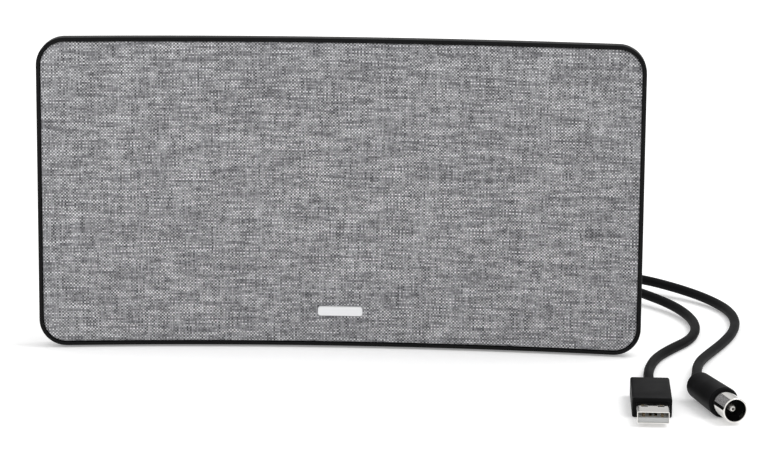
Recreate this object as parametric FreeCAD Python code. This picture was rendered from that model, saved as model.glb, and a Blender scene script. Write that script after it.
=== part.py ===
import FreeCAD, Part
import math
import os
from FreeCAD import Vector

# Indoor TV antenna: a curved, fabric-fronted panel on a moulded foot, with an aerial cord
# ending in an IEC plug and a supply cord ending in a USB plug. Millimetres, +Z up, front at -Y.

# Panel
panel_width = 240.0
panel_height = 125.0
panel_depth = 10.0
panel_sag = 8.2
corner_radius = 11.0
rim_width = 1.45
rim_edge_radius = 0.6
back_edge_radius = 6.0
shell_wall = 2.0
ledge_width = 1.6
cavity_edge_radius = 3.0
seat_clearance = 0.1
same_size = 0.001

# Fabric front and the plate it is stretched over
fabric_recess = 0.3
fabric_thickness = 0.6
fabric_edge_radius = 0.7
fabric_seam = 0.2
hem_width = 6.0
carrier_thickness = 1.6
carrier_edge_radius = 0.4
pin_radius = 1.2
pin_length = 3.5
pin_clearance = 0.1
pin_inset_x = 28.0
pin_inset_z = 21.0
pin_boss_radius = 2.6

# Badge, a plain bar on the fabric
badge_width = 18.0
badge_height = 4.0
badge_thickness = 0.8
badge_corner_radius = 1.2
badge_rise = 14.5

# Aerial film and its copper arms
film_gap = 0.5
film_thickness = 0.2
film_hole_clearance = 0.8
copper_thickness = 0.15
arm_end_gap = 5.0
arm_end_height = 68.0
arm_root_height = 12.0
arm_slot_height = 10.0
arm_slot_margin = 9.0
arm_slot_radius = 4.5
feed_gap = 6.0
feed_width = 5.0
feed_tab_drop = 4.0

# Foot and amplifier housing
housing_width = 140.0
housing_height = 54.0
housing_depth = 16.0
housing_draft = 5.0
housing_wall = 2.0
housing_top_radius = 18.0
housing_foot_radius = 6.0
housing_edge_radius = 4.0
housing_tuck = 2.0
tower_radius = 4.2
tower_inset_x = 12.0
tower_inset_low = 10.5
tower_inset_high = 15.0
well_floor = 3.0
well_radius = 3.2
screw_head_radius = 2.8
screw_head_height = 1.8
screw_radius = 1.4
screw_clearance = 0.15
screw_boss_wall = 1.7
screw_boss_gap = 0.8
screw_tip_gap = 0.6
vent_count = 7
vent_pitch = 4.6
vent_width = 2.0
vent_height = 14.0
vent_end_radius = 0.9

# Rubber feet
foot_height = 0.8
front_foot_width = 18.0
front_foot_inset = 30.0
front_foot_setback = 3.9
front_foot_depth = 3.4
front_foot_reach = 2.0
rear_foot_radius = 4.0
rear_foot_inset_x = 15.0
rear_foot_inset_y = 9.0

# Amplifier board and what it carries
board_side_gap = 11.8
board_floor_gap = 2.4
board_head_gap = 15.6
board_thickness = 1.2
board_corner_radius = 2.0
post_radius = 2.6
post_inset_x = 18.0
post_inset_z = 4.8
board_screw_radius = 1.0
board_screw_head_radius = 1.9
board_screw_head_height = 1.3
board_screw_depth = 5.0
board_screw_clearance = 0.15
can_width = 22.0
can_length = 13.0
can_height = 3.2
can_wall = 0.3
can_clearance = 2.6
can_offset = 12.0
core_width = 7.0
core_length = 5.0
core_height = 4.0
core_hole_radius = 0.9
core_hole_spacing = 3.2
core_offset = 12.0
chip_count = 6
chip_pitch = 3.6
chip_width = 2.0
chip_length = 1.25
chip_height = 0.7
chip_offset = 9.0
feed_wire_radius = 0.4
feed_inset = 5.0
window_width = 40.0
window_height = 18.0
window_corner_radius = 3.0

# Cord glands
gland_flange_radius = 4.8
gland_flange_thickness = 1.6
gland_neck_radius = 3.4
gland_fit = 0.1
gland_collar_radius = 4.4
gland_collar_length = 2.0
gland_root_radius = 3.8
gland_tip_radius = 2.9
gland_tail_length = 12.0
gland_groove_count = 3
gland_groove_width = 1.2
gland_groove_depth = 0.5
gland_bore_depth = 6.0
gland_floor_gap = 0.2
pigtail_inset = 6.5
coax_pigtail_radius = 1.3
usb_wire_radius = 0.6
usb_wire_spacing = 1.8

# Cords
cord_radius = 2.0
cord_fit = 0.05
arc_share = 0.45
lead_straight = 9.0
coil_pitch = 4.2
coil_layers = 2
coil_edge_radius = 1.6
tail_slope = 9.0
tail_margin = 2.0
tie_thickness = 0.6
tie_width = 5.0
coax_coil_radius = 32.0
coax_coil_turns = 3.5
coax_coil_y = 75.0
coax_leave_angle = 0.0
usb_coil_radius = 30.0
usb_coil_turns = 3.0
usb_coil_y = 68.0
usb_leave_angle = 15.0
usb_run_start = 10.0
coax_run_start = 18.0

# Aerial plug
iec_back_x = 140.1
iec_back_y = -75.3
iec_azimuth = 18.7
iec_overmould_length = 26.7
iec_back_radius = 5.25
iec_front_radius = 5.9
iec_back_edge = 2.0
iec_front_edge = 0.5
iec_sleeve_radius = 4.76
iec_sleeve_wall = 0.5
iec_sleeve_step = 0.3
iec_sleeve_length = 11.3
iec_sleeve_seat = 7.0
iec_rim_radius = 0.15
iec_cavity_depth = 9.0
iec_pin_radius = 1.25
iec_pin_setback = 2.4
iec_pin_hole_radius = 0.5
iec_pin_hole_depth = 3.0
plug_fit = 0.05
plug_bore_depth = 4.0
iec_approach = 3.5

# Supply plug
usb_x = 121.8
usb_front_y = -102.3
usb_overmould_length = 30.0
usb_overmould_width = 15.0
usb_overmould_height = 7.6
usb_long_edge = 0.9
usb_end_edge = 0.5
usb_shell_width = 12.0
usb_shell_height = 4.5
usb_shell_wall = 0.3
usb_shell_corner = 0.5
usb_shell_length = 13.2
usb_shell_seat = 6.0
usb_latch_width = 2.5
usb_latch_length = 2.4
usb_latch_setback = 8.2
usb_latch_spacing = 6.2
usb_tongue_height = 1.84
usb_tongue_setback = 0.4
usb_contact_width = 1.0
usb_contact_height = 0.2
usb_power_x = 3.5
usb_power_setback = 1.2
usb_data_x = 1.0
usb_data_setback = 2.4

# Routes of the two cords where they lie in the open, chosen by hand from the photograph
coax_route = [
    Vector(52.0, 106.8, 6.5), Vector(70.5, 105.9, 6.4), Vector(88.8, 104.0, 6.2),
    Vector(106.5, 100.6, 5.9), Vector(123.0, 94.6, 5.5), Vector(137.0, 85.2, 4.4),
    Vector(150.0, 73.0, 3.0), Vector(158.7, 57.3, 2.0), Vector(161.0, 38.8, 2.0),
    Vector(159.0, 20.0, 2.0), Vector(153.8, 2.0, 2.0), Vector(147.8, -14.5, 2.2),
    Vector(143.0, -30.0, 2.8), Vector(141.1, -45.5, 4.0), Vector(140.3, -60.0, 5.2),
]
usb_route = [
    Vector(112.0, 82.5, 5.6), Vector(124.9, 70.6, 4.6), Vector(136.4, 56.2, 3.4),
    Vector(143.0, 39.4, 2.4), Vector(144.1, 22.3, 2.0), Vector(140.5, 5.2, 2.0),
    Vector(132.5, -8.7, 2.0), Vector(126.3, -22.3, 2.0), Vector(123.3, -36.7, 2.3),
    Vector(122.0, -51.0, 3.1), Vector(121.8, -64.0, 3.8),
]

# Values worked out from the sizes above
bend_radius = (panel_width ** 2 / 4 + panel_sag ** 2) / (2 * panel_sag)
total_depth = panel_sag + panel_depth + housing_depth
front_y = -total_depth / 2
back_y = total_depth / 2
bend_centre_y = front_y + panel_sag - bend_radius
panel_base = foot_height
panel_middle = panel_base + panel_height / 2
panel_top = panel_base + panel_height
clear_of_panel = panel_sag + panel_depth

carrier_front = fabric_recess + fabric_thickness
carrier_back = carrier_front + carrier_thickness
hem_back = carrier_back + fabric_thickness
ledge_depth = hem_back + seat_clearance
film_back = carrier_back + film_thickness
copper_back = film_back + copper_thickness
fabric_inset = rim_width + fabric_seam
carrier_inset = fabric_inset + fabric_thickness
film_inset = carrier_inset + hem_width + film_gap
pin_x = panel_width / 2 - pin_inset_x
pin_low = panel_base + pin_inset_z
pin_high = panel_top - pin_inset_z
pin_places = [(-pin_x, pin_low), (pin_x, pin_low), (-pin_x, pin_high), (0.0, pin_high), (pin_x, pin_high)]

housing_base = foot_height
housing_inner_y = back_y - housing_wall
tower_x = housing_width / 2 - tower_inset_x
tower_low = housing_base + tower_inset_low
tower_high = housing_base + housing_height - tower_inset_high
tower_places = [(side * tower_x, z) for side in (-1, 1) for z in (tower_low, tower_high)]

board_width = housing_width - 2 * (tower_inset_x + tower_radius + board_side_gap)
board_base = housing_base + housing_wall + board_floor_gap
board_height = housing_height - 2 * housing_wall - board_floor_gap - board_head_gap
board_top = board_base + board_height
board_middle = board_base + board_height / 2
board_standoff = housing_depth - housing_wall - board_thickness - can_height - can_clearance
board_back_y = housing_inner_y - board_standoff
board_front_y = board_back_y - board_thickness
post_x = board_width / 2 - post_inset_x
post_places = [(side * post_x, z) for side in (-1, 1)
               for z in (board_base + post_inset_z, board_top - post_inset_z)]
feed_x = feed_gap / 2 + feed_width / 2
feed_z = board_top - feed_inset

gland_x = board_width / 2 - pigtail_inset
gland_z = housing_base + housing_wall + gland_flange_radius + gland_floor_gap
gland_tip_y = back_y + gland_collar_length + gland_tail_length
iec_axis = Vector(math.sin(math.radians(iec_azimuth)), -math.cos(math.radians(iec_azimuth)), 0)
iec_back = Vector(iec_back_x, iec_back_y, iec_front_radius)
usb_back_y = usb_front_y + usb_overmould_length
usb_axis_z = usb_overmould_height / 2
coil_height = coil_layers * 2 * cord_radius
coil_low_z = tie_thickness + cord_radius
coil_high_z = tie_thickness + coil_height - cord_radius


# Shared shapes
def rounded_outline(width, height, radius, x, y, z):
    """Wire of a rounded rectangle in a plane of constant y, centred on x and z."""
    left, right = x - width / 2, x + width / 2
    low, high = z - height / 2, z + height / 2
    slant = radius * (1 - math.sqrt(0.5))
    edges = [
        Part.LineSegment(Vector(left + radius, y, low), Vector(right - radius, y, low)),
        Part.Arc(Vector(right - radius, y, low), Vector(right - slant, y, low + slant),
                 Vector(right, y, low + radius)),
        Part.LineSegment(Vector(right, y, low + radius), Vector(right, y, high - radius)),
        Part.Arc(Vector(right, y, high - radius), Vector(right - slant, y, high - slant),
                 Vector(right - radius, y, high)),
        Part.LineSegment(Vector(right - radius, y, high), Vector(left + radius, y, high)),
        Part.Arc(Vector(left + radius, y, high), Vector(left + slant, y, high - slant),
                 Vector(left, y, high - radius)),
        Part.LineSegment(Vector(left, y, high - radius), Vector(left, y, low + radius)),
        Part.Arc(Vector(left, y, low + radius), Vector(left + slant, y, low + slant),
                 Vector(left + radius, y, low)),
    ]
    return Part.Wire([edge.toShape() for edge in edges])


def rounded_prism(width, height, radius, x, z, y_from, y_to):
    """Rounded rectangle drawn out along Y."""
    outline = rounded_outline(width, height, radius, x, y_from, z)
    return Part.Face(outline).extrude(Vector(0, y_to - y_from, 0))


def rod(radius, start, end):
    """Cylinder from one point to another."""
    axis = end - start
    return Part.makeCylinder(radius, axis.Length, start, axis)


def block(width, depth, height, x, y, z):
    """Box centred on x and y, standing on z."""
    return Part.makeBox(width, depth, height, Vector(x - width / 2, y - depth / 2, z))


def turned(profile, start, axis):
    """Solid of revolution: profile lists (radius, distance along the axis) round a closed section."""
    section = Part.makePolygon([Vector(radius, 0, along) for radius, along in profile + profile[:1]])
    solid = Part.Face(section).revolve(Vector(0, 0, 0), Vector(0, 0, 1), 360)
    solid.Placement = FreeCAD.Placement(start, FreeCAD.Rotation(Vector(0, 0, 1), axis))
    return solid


def bend_cylinder(depth):
    """Everything in front of the curved surface that lies depth behind the panel's front."""
    height = panel_top + foot_height
    return Part.makeCylinder(bend_radius + depth, height, Vector(0, bend_centre_y, -foot_height))


def bend_band(front, back):
    """Curved layer between two depths behind the panel's front."""
    return bend_cylinder(back).cut(bend_cylinder(front))


def bend_y(depth, x):
    """Y of the curved surface at that depth and x."""
    return bend_centre_y + math.sqrt((bend_radius + depth) ** 2 - x ** 2)


def panel_layer(inset, front, back):
    """Layer of the panel: its outline drawn in by inset, between two depths."""
    prism = rounded_prism(panel_width - 2 * inset, panel_height - 2 * inset, corner_radius - inset,
                          0, panel_middle, front_y - clear_of_panel, back_y)
    return prism.common(bend_band(front, back))


def round_face(solid, depth, radius):
    """Rounds the edges of the curved face that lies at that depth."""
    for face in solid.Faces:
        curved = isinstance(face.Surface, Part.Cylinder)
        if curved and abs(face.Surface.Radius - bend_radius - depth) < same_size:
            return solid.makeFillet(radius, face.Edges)
    raise ValueError("no curved face at that depth")


# Panel
def make_panel_blank():
    """Outer form of the panel, with its rear edge well rounded and its front edge broken."""
    blank = panel_layer(0, 0, panel_depth)
    blank = round_face(blank, panel_depth, back_edge_radius)
    return round_face(blank, 0, rim_edge_radius)


def make_rear_shell(blank):
    recess = panel_layer(rim_width, -panel_depth, ledge_depth)
    wall_depth = panel_depth - shell_wall
    cavity = panel_layer(rim_width + ledge_width, fabric_recess, wall_depth)
    shell = blank.cut(recess).cut(round_face(cavity, wall_depth, cavity_edge_radius))
    pin_bosses = bend_band(carrier_back + seat_clearance, panel_depth - shell_wall / 2)
    for x, z in pin_places:
        boss = rod(pin_boss_radius, Vector(x, front_y, z), Vector(x, back_y, z)).common(pin_bosses)
        hole = rod(pin_radius + pin_clearance, Vector(x, front_y, z), Vector(x, bend_y(wall_depth, x), z))
        shell = shell.fuse(boss).cut(hole)
    screw_boss_depth = copper_back + screw_boss_gap
    screw_bosses = bend_band(screw_boss_depth, panel_depth - shell_wall / 2)
    for x, z in tower_places:
        boss = rod(screw_radius + screw_boss_wall, Vector(x, front_y, z), Vector(x, back_y, z))
        hole = rod(screw_radius + screw_clearance, Vector(x, front_y, z), Vector(x, back_y, z))
        shell = shell.fuse(boss.common(screw_bosses)).cut(hole)
    window = rounded_prism(window_width, window_height, window_corner_radius, 0, feed_z,
                           bend_y(ledge_depth, 0), back_y)
    return shell.cut(window).removeSplitter()


def make_front_carrier():
    plate = panel_layer(carrier_inset, carrier_front, carrier_back)
    plate = round_face(plate, carrier_front, carrier_edge_radius)
    pins = bend_band(carrier_front + carrier_thickness / 2, carrier_back + pin_length)
    for x, z in pin_places:
        pin = rod(pin_radius, Vector(x, front_y, z), Vector(x, back_y, z))
        plate = plate.fuse(pin.common(pins))
    return plate.removeSplitter()


def make_fabric_cover():
    """Cloth over the front and edges of the carrier, with a hem turned in behind it."""
    cover = panel_layer(fabric_inset, fabric_recess, hem_back)
    cover = round_face(cover, fabric_recess, fabric_edge_radius)
    core = panel_layer(carrier_inset, carrier_front, carrier_back)
    core = round_face(core, carrier_front, carrier_edge_radius)
    open_back = panel_layer(carrier_inset + hem_width, carrier_front + carrier_thickness / 2, panel_depth)
    return cover.cut(core).cut(open_back)


def make_badge():
    bar = rounded_prism(badge_width, badge_height, badge_corner_radius, 0, panel_base + badge_rise,
                        front_y - clear_of_panel, back_y)
    return bar.common(bend_band(fabric_recess - badge_thickness, fabric_recess))


# Aerial
def make_antenna_film():
    film = panel_layer(film_inset, carrier_back, film_back)
    for x, z in pin_places:
        hole_radius = pin_boss_radius + film_hole_clearance
        film = film.cut(rod(hole_radius, Vector(x, front_y, z), Vector(x, back_y, z)))
    return film


def make_radiators():
    """Two copper arms that widen outwards, each with a long slot and a tab down to its feed wire."""
    layer = bend_band(film_back, copper_back)
    inner = feed_gap / 2
    root = inner + feed_width
    reach = pin_x - pin_boss_radius - arm_end_gap
    tab_low = feed_z - feed_tab_drop
    arms = []
    for side in (-1, 1):
        corners = [
            (inner, tab_low), (root, tab_low), (root, panel_middle - arm_root_height / 2),
            (reach, panel_middle - arm_end_height / 2), (reach, panel_middle + arm_end_height / 2),
            (root, panel_middle + arm_root_height / 2), (inner, panel_middle + arm_root_height / 2),
        ]
        corners.append(corners[0])
        outline = Part.makePolygon([Vector(side * x, front_y, z) for x, z in corners])
        slot_start = root + (reach - root) / 2
        slot_length = reach - arm_slot_margin - slot_start
        slot = rounded_prism(slot_length, arm_slot_height, arm_slot_radius,
                             side * (slot_start + slot_length / 2), panel_middle, front_y, back_y)
        arm = Part.Face(outline).extrude(Vector(0, total_depth, 0)).cut(slot)
        arms.append(arm.common(layer))
    return Part.makeCompound(arms)


# Foot and amplifier housing
def housing_outline(y, inset, floor):
    """Upright arch with a flat base: round shoulders, small radii at the foot."""
    half = housing_width / 2 - inset
    top = housing_base + housing_height - inset
    shoulder = housing_top_radius - inset
    foot = housing_foot_radius
    shoulder_slant = shoulder * (1 - math.sqrt(0.5))
    foot_slant = foot * (1 - math.sqrt(0.5))
    edges = [
        Part.LineSegment(Vector(foot - half, y, floor), Vector(half - foot, y, floor)),
        Part.Arc(Vector(half - foot, y, floor), Vector(half - foot_slant, y, floor + foot_slant),
                 Vector(half, y, floor + foot)),
        Part.LineSegment(Vector(half, y, floor + foot), Vector(half, y, top - shoulder)),
        Part.Arc(Vector(half, y, top - shoulder),
                 Vector(half - shoulder_slant, y, top - shoulder_slant), Vector(half - shoulder, y, top)),
        Part.LineSegment(Vector(half - shoulder, y, top), Vector(shoulder - half, y, top)),
        Part.Arc(Vector(shoulder - half, y, top),
                 Vector(shoulder_slant - half, y, top - shoulder_slant), Vector(-half, y, top - shoulder)),
        Part.LineSegment(Vector(-half, y, top - shoulder), Vector(-half, y, floor + foot)),
        Part.Arc(Vector(-half, y, floor + foot), Vector(foot_slant - half, y, floor + foot_slant),
                 Vector(foot - half, y, floor)),
    ]
    return Part.Wire([edge.toShape() for edge in edges])


def make_stand_housing(blank):
    start_y = bend_y(0, housing_width / 2)
    outer = Part.makeLoft([housing_outline(start_y, 0, housing_base),
                           housing_outline(back_y, housing_draft, housing_base)], True, True)
    rear_edges = [edge for edge in outer.Edges
                  if all(abs(vertex.Y - back_y) < same_size for vertex in edge.Vertexes)]
    outer = outer.makeFillet(housing_edge_radius, rear_edges)
    inner = Part.makeLoft([housing_outline(start_y, housing_wall, housing_base + housing_wall),
                           housing_outline(housing_inner_y, housing_wall + housing_draft,
                                           housing_base + housing_wall)], True, True)
    housing = outer.cut(inner)
    for x, z in tower_places:
        tower = rod(tower_radius, Vector(x, start_y, z), Vector(x, housing_inner_y + housing_wall / 2, z))
        housing = housing.fuse(tower.common(outer))
    for x, z in post_places:
        post = rod(post_radius, Vector(x, board_back_y, z), Vector(x, housing_inner_y + housing_wall / 2, z))
        housing = housing.fuse(post)
    housing = housing.cut(bend_cylinder(panel_depth - housing_tuck)).cut(blank)
    for x, z in tower_places:
        floor_y = bend_y(panel_depth, x) + well_floor
        housing = housing.cut(rod(well_radius, Vector(x, floor_y, z), Vector(x, back_y + housing_wall, z)))
        shank = rod(screw_radius + screw_clearance, Vector(x, start_y, z), Vector(x, back_y, z))
        housing = housing.cut(shank)
    for x, z in post_places:
        pilot_end = Vector(x, board_front_y + board_screw_depth + board_screw_clearance, z)
        pilot = rod(board_screw_radius + board_screw_clearance, Vector(x, start_y, z), pilot_end)
        housing = housing.cut(pilot)
    for side in (-1, 1):
        x = side * gland_x
        housing = housing.cut(rod(gland_neck_radius + gland_fit, Vector(x, board_back_y, gland_z),
                                  Vector(x, back_y + housing_wall, gland_z)))
    for index in range(vent_count):
        x = (index - (vent_count - 1) / 2) * vent_pitch
        housing = housing.cut(rounded_prism(vent_width, vent_height, vent_end_radius, x, board_middle,
                                            board_back_y, back_y + housing_wall))
    return housing.removeSplitter()


def make_housing_screws():
    screws = []
    for x, z in tower_places:
        seat_y = bend_y(panel_depth, x) + well_floor
        tip_y = bend_y(copper_back + screw_boss_gap + screw_tip_gap, x)
        head = rod(screw_head_radius, Vector(x, seat_y, z), Vector(x, seat_y + screw_head_height, z))
        screws.append(head.fuse(rod(screw_radius, Vector(x, tip_y, z), Vector(x, seat_y, z))))
    return Part.makeCompound(screws)


def make_front_feet(blank):
    """Pads set back under the panel's round lower edge, whose top follows that edge."""
    band = bend_band(front_foot_setback, front_foot_setback + front_foot_depth)
    foot_x = panel_width / 2 - front_foot_inset
    height = foot_height + front_foot_reach
    feet = [block(front_foot_width, total_depth, height, side * foot_x, 0, 0).common(band).cut(blank)
            for side in (-1, 1)]
    return Part.makeCompound(feet)


def make_rear_feet():
    foot_x = housing_width / 2 - rear_foot_inset_x
    foot_y = back_y - rear_foot_inset_y
    feet = [Part.makeCylinder(rear_foot_radius, foot_height, Vector(side * foot_x, foot_y, 0))
            for side in (-1, 1)]
    return Part.makeCompound(feet)


# Amplifier
def make_amplifier_board():
    board = rounded_prism(board_width, board_height, board_corner_radius, 0, board_middle,
                          board_front_y, board_back_y)
    for x, z in post_places:
        hole_radius = board_screw_radius + board_screw_clearance
        board = board.cut(rod(hole_radius, Vector(x, board_front_y, z), Vector(x, board_back_y, z)))
    return board


def make_board_screws():
    screws = []
    for x, z in post_places:
        top = Vector(x, board_front_y - board_screw_head_height, z)
        seat = Vector(x, board_front_y, z)
        tip = Vector(x, board_front_y + board_screw_depth, z)
        screws.append(rod(board_screw_head_radius, top, seat).fuse(rod(board_screw_radius, seat, tip)))
    return Part.makeCompound(screws)


def on_board(width, length, height, x, z):
    """Box on the front of the board."""
    return Part.makeBox(width, height, length,
                        Vector(x - width / 2, board_front_y - height, z - length / 2))


def make_shield_can():
    """Folded metal lid, open towards the board."""
    lid = on_board(can_width, can_length, can_height, can_offset, board_middle)
    room = on_board(can_width - 2 * can_wall, can_length - 2 * can_wall, can_height - can_wall,
                    can_offset, board_middle)
    return lid.cut(room)


def make_balun_core():
    """Two-hole ferrite core, its holes lying along the board."""
    core = on_board(core_width, core_length, core_height, -core_offset, board_middle)
    for side in (-1, 1):
        x = side * core_hole_spacing / 2 - core_offset
        y = board_front_y - core_height / 2
        core = core.cut(rod(core_hole_radius, Vector(x, y, board_base), Vector(x, y, board_top)))
    return core


def make_board_components():
    first = -(chip_count - 1) / 2 * chip_pitch
    chips = [on_board(chip_width, chip_length, chip_height, first + index * chip_pitch,
                      board_middle - chip_offset)
             for index in range(chip_count)]
    return Part.makeCompound(chips)


def make_feed_leads():
    """Two wires from the board to the copper arms, through the window in the shell."""
    leads = [rod(feed_wire_radius, Vector(side * feed_x, bend_y(0, 0), feed_z),
                 Vector(side * feed_x, board_front_y, feed_z)).cut(bend_cylinder(copper_back))
             for side in (-1, 1)]
    return Part.makeCompound(leads)


# Cord glands and the inner ends of the cords
def make_gland(x):
    """Moulded strain relief: flange inside the wall, neck in it, grooved taper outside."""
    inner_end = -housing_wall - gland_flange_thickness
    tail_end = gland_collar_length + gland_tail_length
    profile = [(0, inner_end), (gland_flange_radius, inner_end), (gland_flange_radius, -housing_wall),
               (gland_neck_radius, -housing_wall), (gland_neck_radius, 0), (gland_collar_radius, 0),
               (gland_collar_radius, gland_collar_length), (gland_root_radius, gland_collar_length)]
    groove_pitch = gland_tail_length / (gland_groove_count + 1)
    for index in range(gland_groove_count):
        along = (index + 1) * groove_pitch - gland_groove_width / 2
        radius = gland_root_radius + (gland_tip_radius - gland_root_radius) * along / gland_tail_length
        start = gland_collar_length + along
        profile += [(radius, start), (radius - gland_groove_depth, start),
                    (radius - gland_groove_depth, start + gland_groove_width),
                    (radius, start + gland_groove_width)]
    bore = cord_radius + cord_fit
    bore_end = tail_end - gland_bore_depth
    profile += [(gland_tip_radius, tail_end), (bore, tail_end), (bore, bore_end), (0, bore_end)]
    return turned(profile, Vector(x, back_y, gland_z), Vector(0, 1, 0))


def make_pigtail(radius, x):
    inner_end = housing_inner_y - gland_flange_thickness
    return rod(radius, Vector(x, board_back_y, gland_z), Vector(x, inner_end, gland_z))


# Cords
def cord_tube(name, points):
    """Round cord along straight runs joined by tangent arcs, each as large as its two runs allow."""
    edges = []
    last = points[0]
    length = 0.0
    radii = []
    for before, corner, after in zip(points, points[1:], points[2:]):
        arriving = (corner - before).normalize()
        leaving = (after - corner).normalize()
        half_turn = arriving.getAngle(leaving) / 2
        reach = arc_share * min((corner - before).Length, (after - corner).Length)
        radius = reach / math.tan(half_turn)
        start = corner - arriving * reach
        end = corner + leaving * reach
        inward = (leaving - arriving).normalize()
        middle = corner + inward * (radius / math.cos(half_turn) - radius)
        edges += [Part.LineSegment(last, start).toShape(), Part.Arc(start, middle, end).toShape()]
        length += (start - last).Length + 2 * half_turn * radius
        radii.append(radius)
        last = end
    edges.append(Part.LineSegment(last, points[-1]).toShape())
    length += (points[-1] - last).Length
    section = Part.Wire([Part.Circle(points[0], points[1] - points[0], cord_radius).toShape()])
    tube = Part.Wire(edges).makePipe(Part.Face(section))
    share = tube.Volume / (math.pi * cord_radius ** 2 * length)
    print(name, "length", round(length, 1), "smallest radius", round(min(radii), 1),
          "volume over section times length", round(share, 4))
    print(name, "radii", [round(radius) for radius in radii])
    return tube


class Coil:
    """Neat round coil of cord, wound clockwise as seen from above, with a tail in and a tail out."""

    def __init__(self, entry_x, centre_y, radius, turns, leave_angle):
        self.outer = radius
        self.inner = radius - turns * coil_pitch
        self.centre = Vector(entry_x + radius, centre_y, 0)
        tail = math.sqrt((radius + 2 * cord_radius) ** 2 - radius ** 2) + tail_margin
        angle = math.radians(leave_angle)
        rise = tail * math.tan(math.radians(tail_slope))
        self.entry = Vector(entry_x, centre_y, coil_low_z)
        self.entry_start = self.entry + Vector(0, -tail, rise)
        self.heading = Vector(math.cos(angle), -math.sin(angle), 0)
        self.leave = self.centre + Vector(radius * math.sin(angle), radius * math.cos(angle), coil_high_z)
        self.leave_end = self.leave + self.heading * tail

    def ring(self):
        """Outer form of all the turns."""
        inner = self.inner - cord_radius
        outer = self.outer + cord_radius
        ring = Part.makeCylinder(outer, coil_height, self.centre + Vector(0, 0, tie_thickness))
        ring = ring.cut(Part.makeCylinder(inner, coil_height, self.centre + Vector(0, 0, tie_thickness)))
        circles = [edge for edge in ring.Edges if isinstance(edge.Curve, Part.Circle)]
        return ring.makeFillet(coil_edge_radius, circles)

    def solid(self):
        """The turns with the straight tails where the cord comes in and leaves."""
        tail_in = rod(cord_radius, self.entry_start, self.entry)
        tail_out = rod(cord_radius, self.leave, self.leave_end)
        return self.ring().fuse(tail_in).fuse(tail_out).removeSplitter()

    def tie(self):
        """Flat tie round all the turns, on the side towards the housing."""
        middle = self.centre - Vector(0, (self.inner + self.outer) / 2, 0)
        across = self.outer - self.inner + 2 * cord_radius + 2 * tie_thickness
        band = block(tie_width, across, coil_height + 2 * tie_thickness, middle.x, middle.y, 0)
        return band.cut(self.ring())


def lead_points(x, coil):
    """From the bore of the gland, straight out and down to the coil's tail."""
    start = Vector(x, gland_tip_y - gland_bore_depth, gland_z)
    level_end = start + Vector(0, lead_straight, 0)
    slope = coil.entry_start - coil.entry
    bend = coil.entry_start + slope * ((level_end - coil.entry_start).y / (2 * slope.y))
    return [start, level_end, bend, coil.entry_start]


# Aerial plug
def make_iec_overmould():
    """Tapered grip, rounded at the cord, with a bore at each end."""
    length = iec_overmould_length
    cord_bore = cord_radius + cord_fit
    seat = iec_seat_radius + plug_fit
    taper = (iec_front_radius - iec_back_radius) / length
    back = iec_back_edge * (1 - math.sqrt(0.5))
    outline = [
        Part.LineSegment(Vector(cord_bore, 0, plug_bore_depth), Vector(cord_bore, 0, 0)),
        Part.LineSegment(Vector(cord_bore, 0, 0), Vector(iec_back_radius - iec_back_edge, 0, 0)),
        Part.Arc(Vector(iec_back_radius - iec_back_edge, 0, 0), Vector(iec_back_radius - back, 0, back),
                 Vector(iec_back_radius, 0, iec_back_edge)),
        Part.LineSegment(Vector(iec_back_radius, 0, iec_back_edge),
                         Vector(iec_front_radius - taper * iec_front_edge, 0, length - iec_front_edge)),
        Part.LineSegment(Vector(iec_front_radius - taper * iec_front_edge, 0, length - iec_front_edge),
                         Vector(iec_front_radius - iec_front_edge, 0, length)),
        Part.LineSegment(Vector(iec_front_radius - iec_front_edge, 0, length), Vector(seat, 0, length)),
        Part.LineSegment(Vector(seat, 0, length), Vector(seat, 0, length - iec_sleeve_seat)),
        Part.LineSegment(Vector(seat, 0, length - iec_sleeve_seat), Vector(0, 0, length - iec_sleeve_seat)),
        Part.LineSegment(Vector(0, 0, length - iec_sleeve_seat), Vector(0, 0, plug_bore_depth)),
        Part.LineSegment(Vector(0, 0, plug_bore_depth), Vector(cord_bore, 0, plug_bore_depth)),
    ]
    section = Part.Face(Part.Wire([edge.toShape() for edge in outline]))
    grip = section.revolve(Vector(0, 0, 0), Vector(0, 0, 1), 360)
    grip.Placement = FreeCAD.Placement(iec_back, FreeCAD.Rotation(Vector(0, 0, 1), iec_axis))
    return grip


iec_seat = iec_overmould_length - iec_sleeve_seat
iec_mouth = iec_overmould_length + iec_sleeve_length
iec_sleeve_bore = iec_sleeve_radius - iec_sleeve_wall
iec_seat_radius = iec_sleeve_radius - iec_sleeve_step


def make_iec_sleeve():
    """Outer contact: a tube whose shoulder sits on the grip and whose stepped root goes into it."""
    profile = [(iec_sleeve_bore, iec_seat), (iec_seat_radius, iec_seat),
               (iec_seat_radius, iec_overmould_length), (iec_sleeve_radius, iec_overmould_length),
               (iec_sleeve_radius, iec_mouth - iec_rim_radius),
               (iec_sleeve_radius - iec_rim_radius, iec_mouth), (iec_sleeve_bore, iec_mouth)]
    return turned(profile, iec_back, iec_axis)


def make_iec_insulator():
    bore = iec_pin_radius + plug_fit
    top = iec_mouth - iec_cavity_depth
    outer = iec_sleeve_bore - plug_fit
    return turned([(bore, iec_seat), (outer, iec_seat), (outer, top), (bore, top)], iec_back, iec_axis)


def make_iec_pin():
    """Centre contact, rolled from sheet, so hollow at its tip."""
    tip = iec_mouth - iec_pin_setback
    nose = iec_pin_radius - iec_pin_hole_radius
    profile = [(0, iec_seat), (iec_pin_radius, iec_seat), (iec_pin_radius, tip - nose),
               (iec_pin_radius - nose / 3, tip - nose / 3), (iec_pin_hole_radius, tip),
               (iec_pin_hole_radius, tip - iec_pin_hole_depth), (0, tip - iec_pin_hole_depth)]
    return turned(profile, iec_back, iec_axis)


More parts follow.
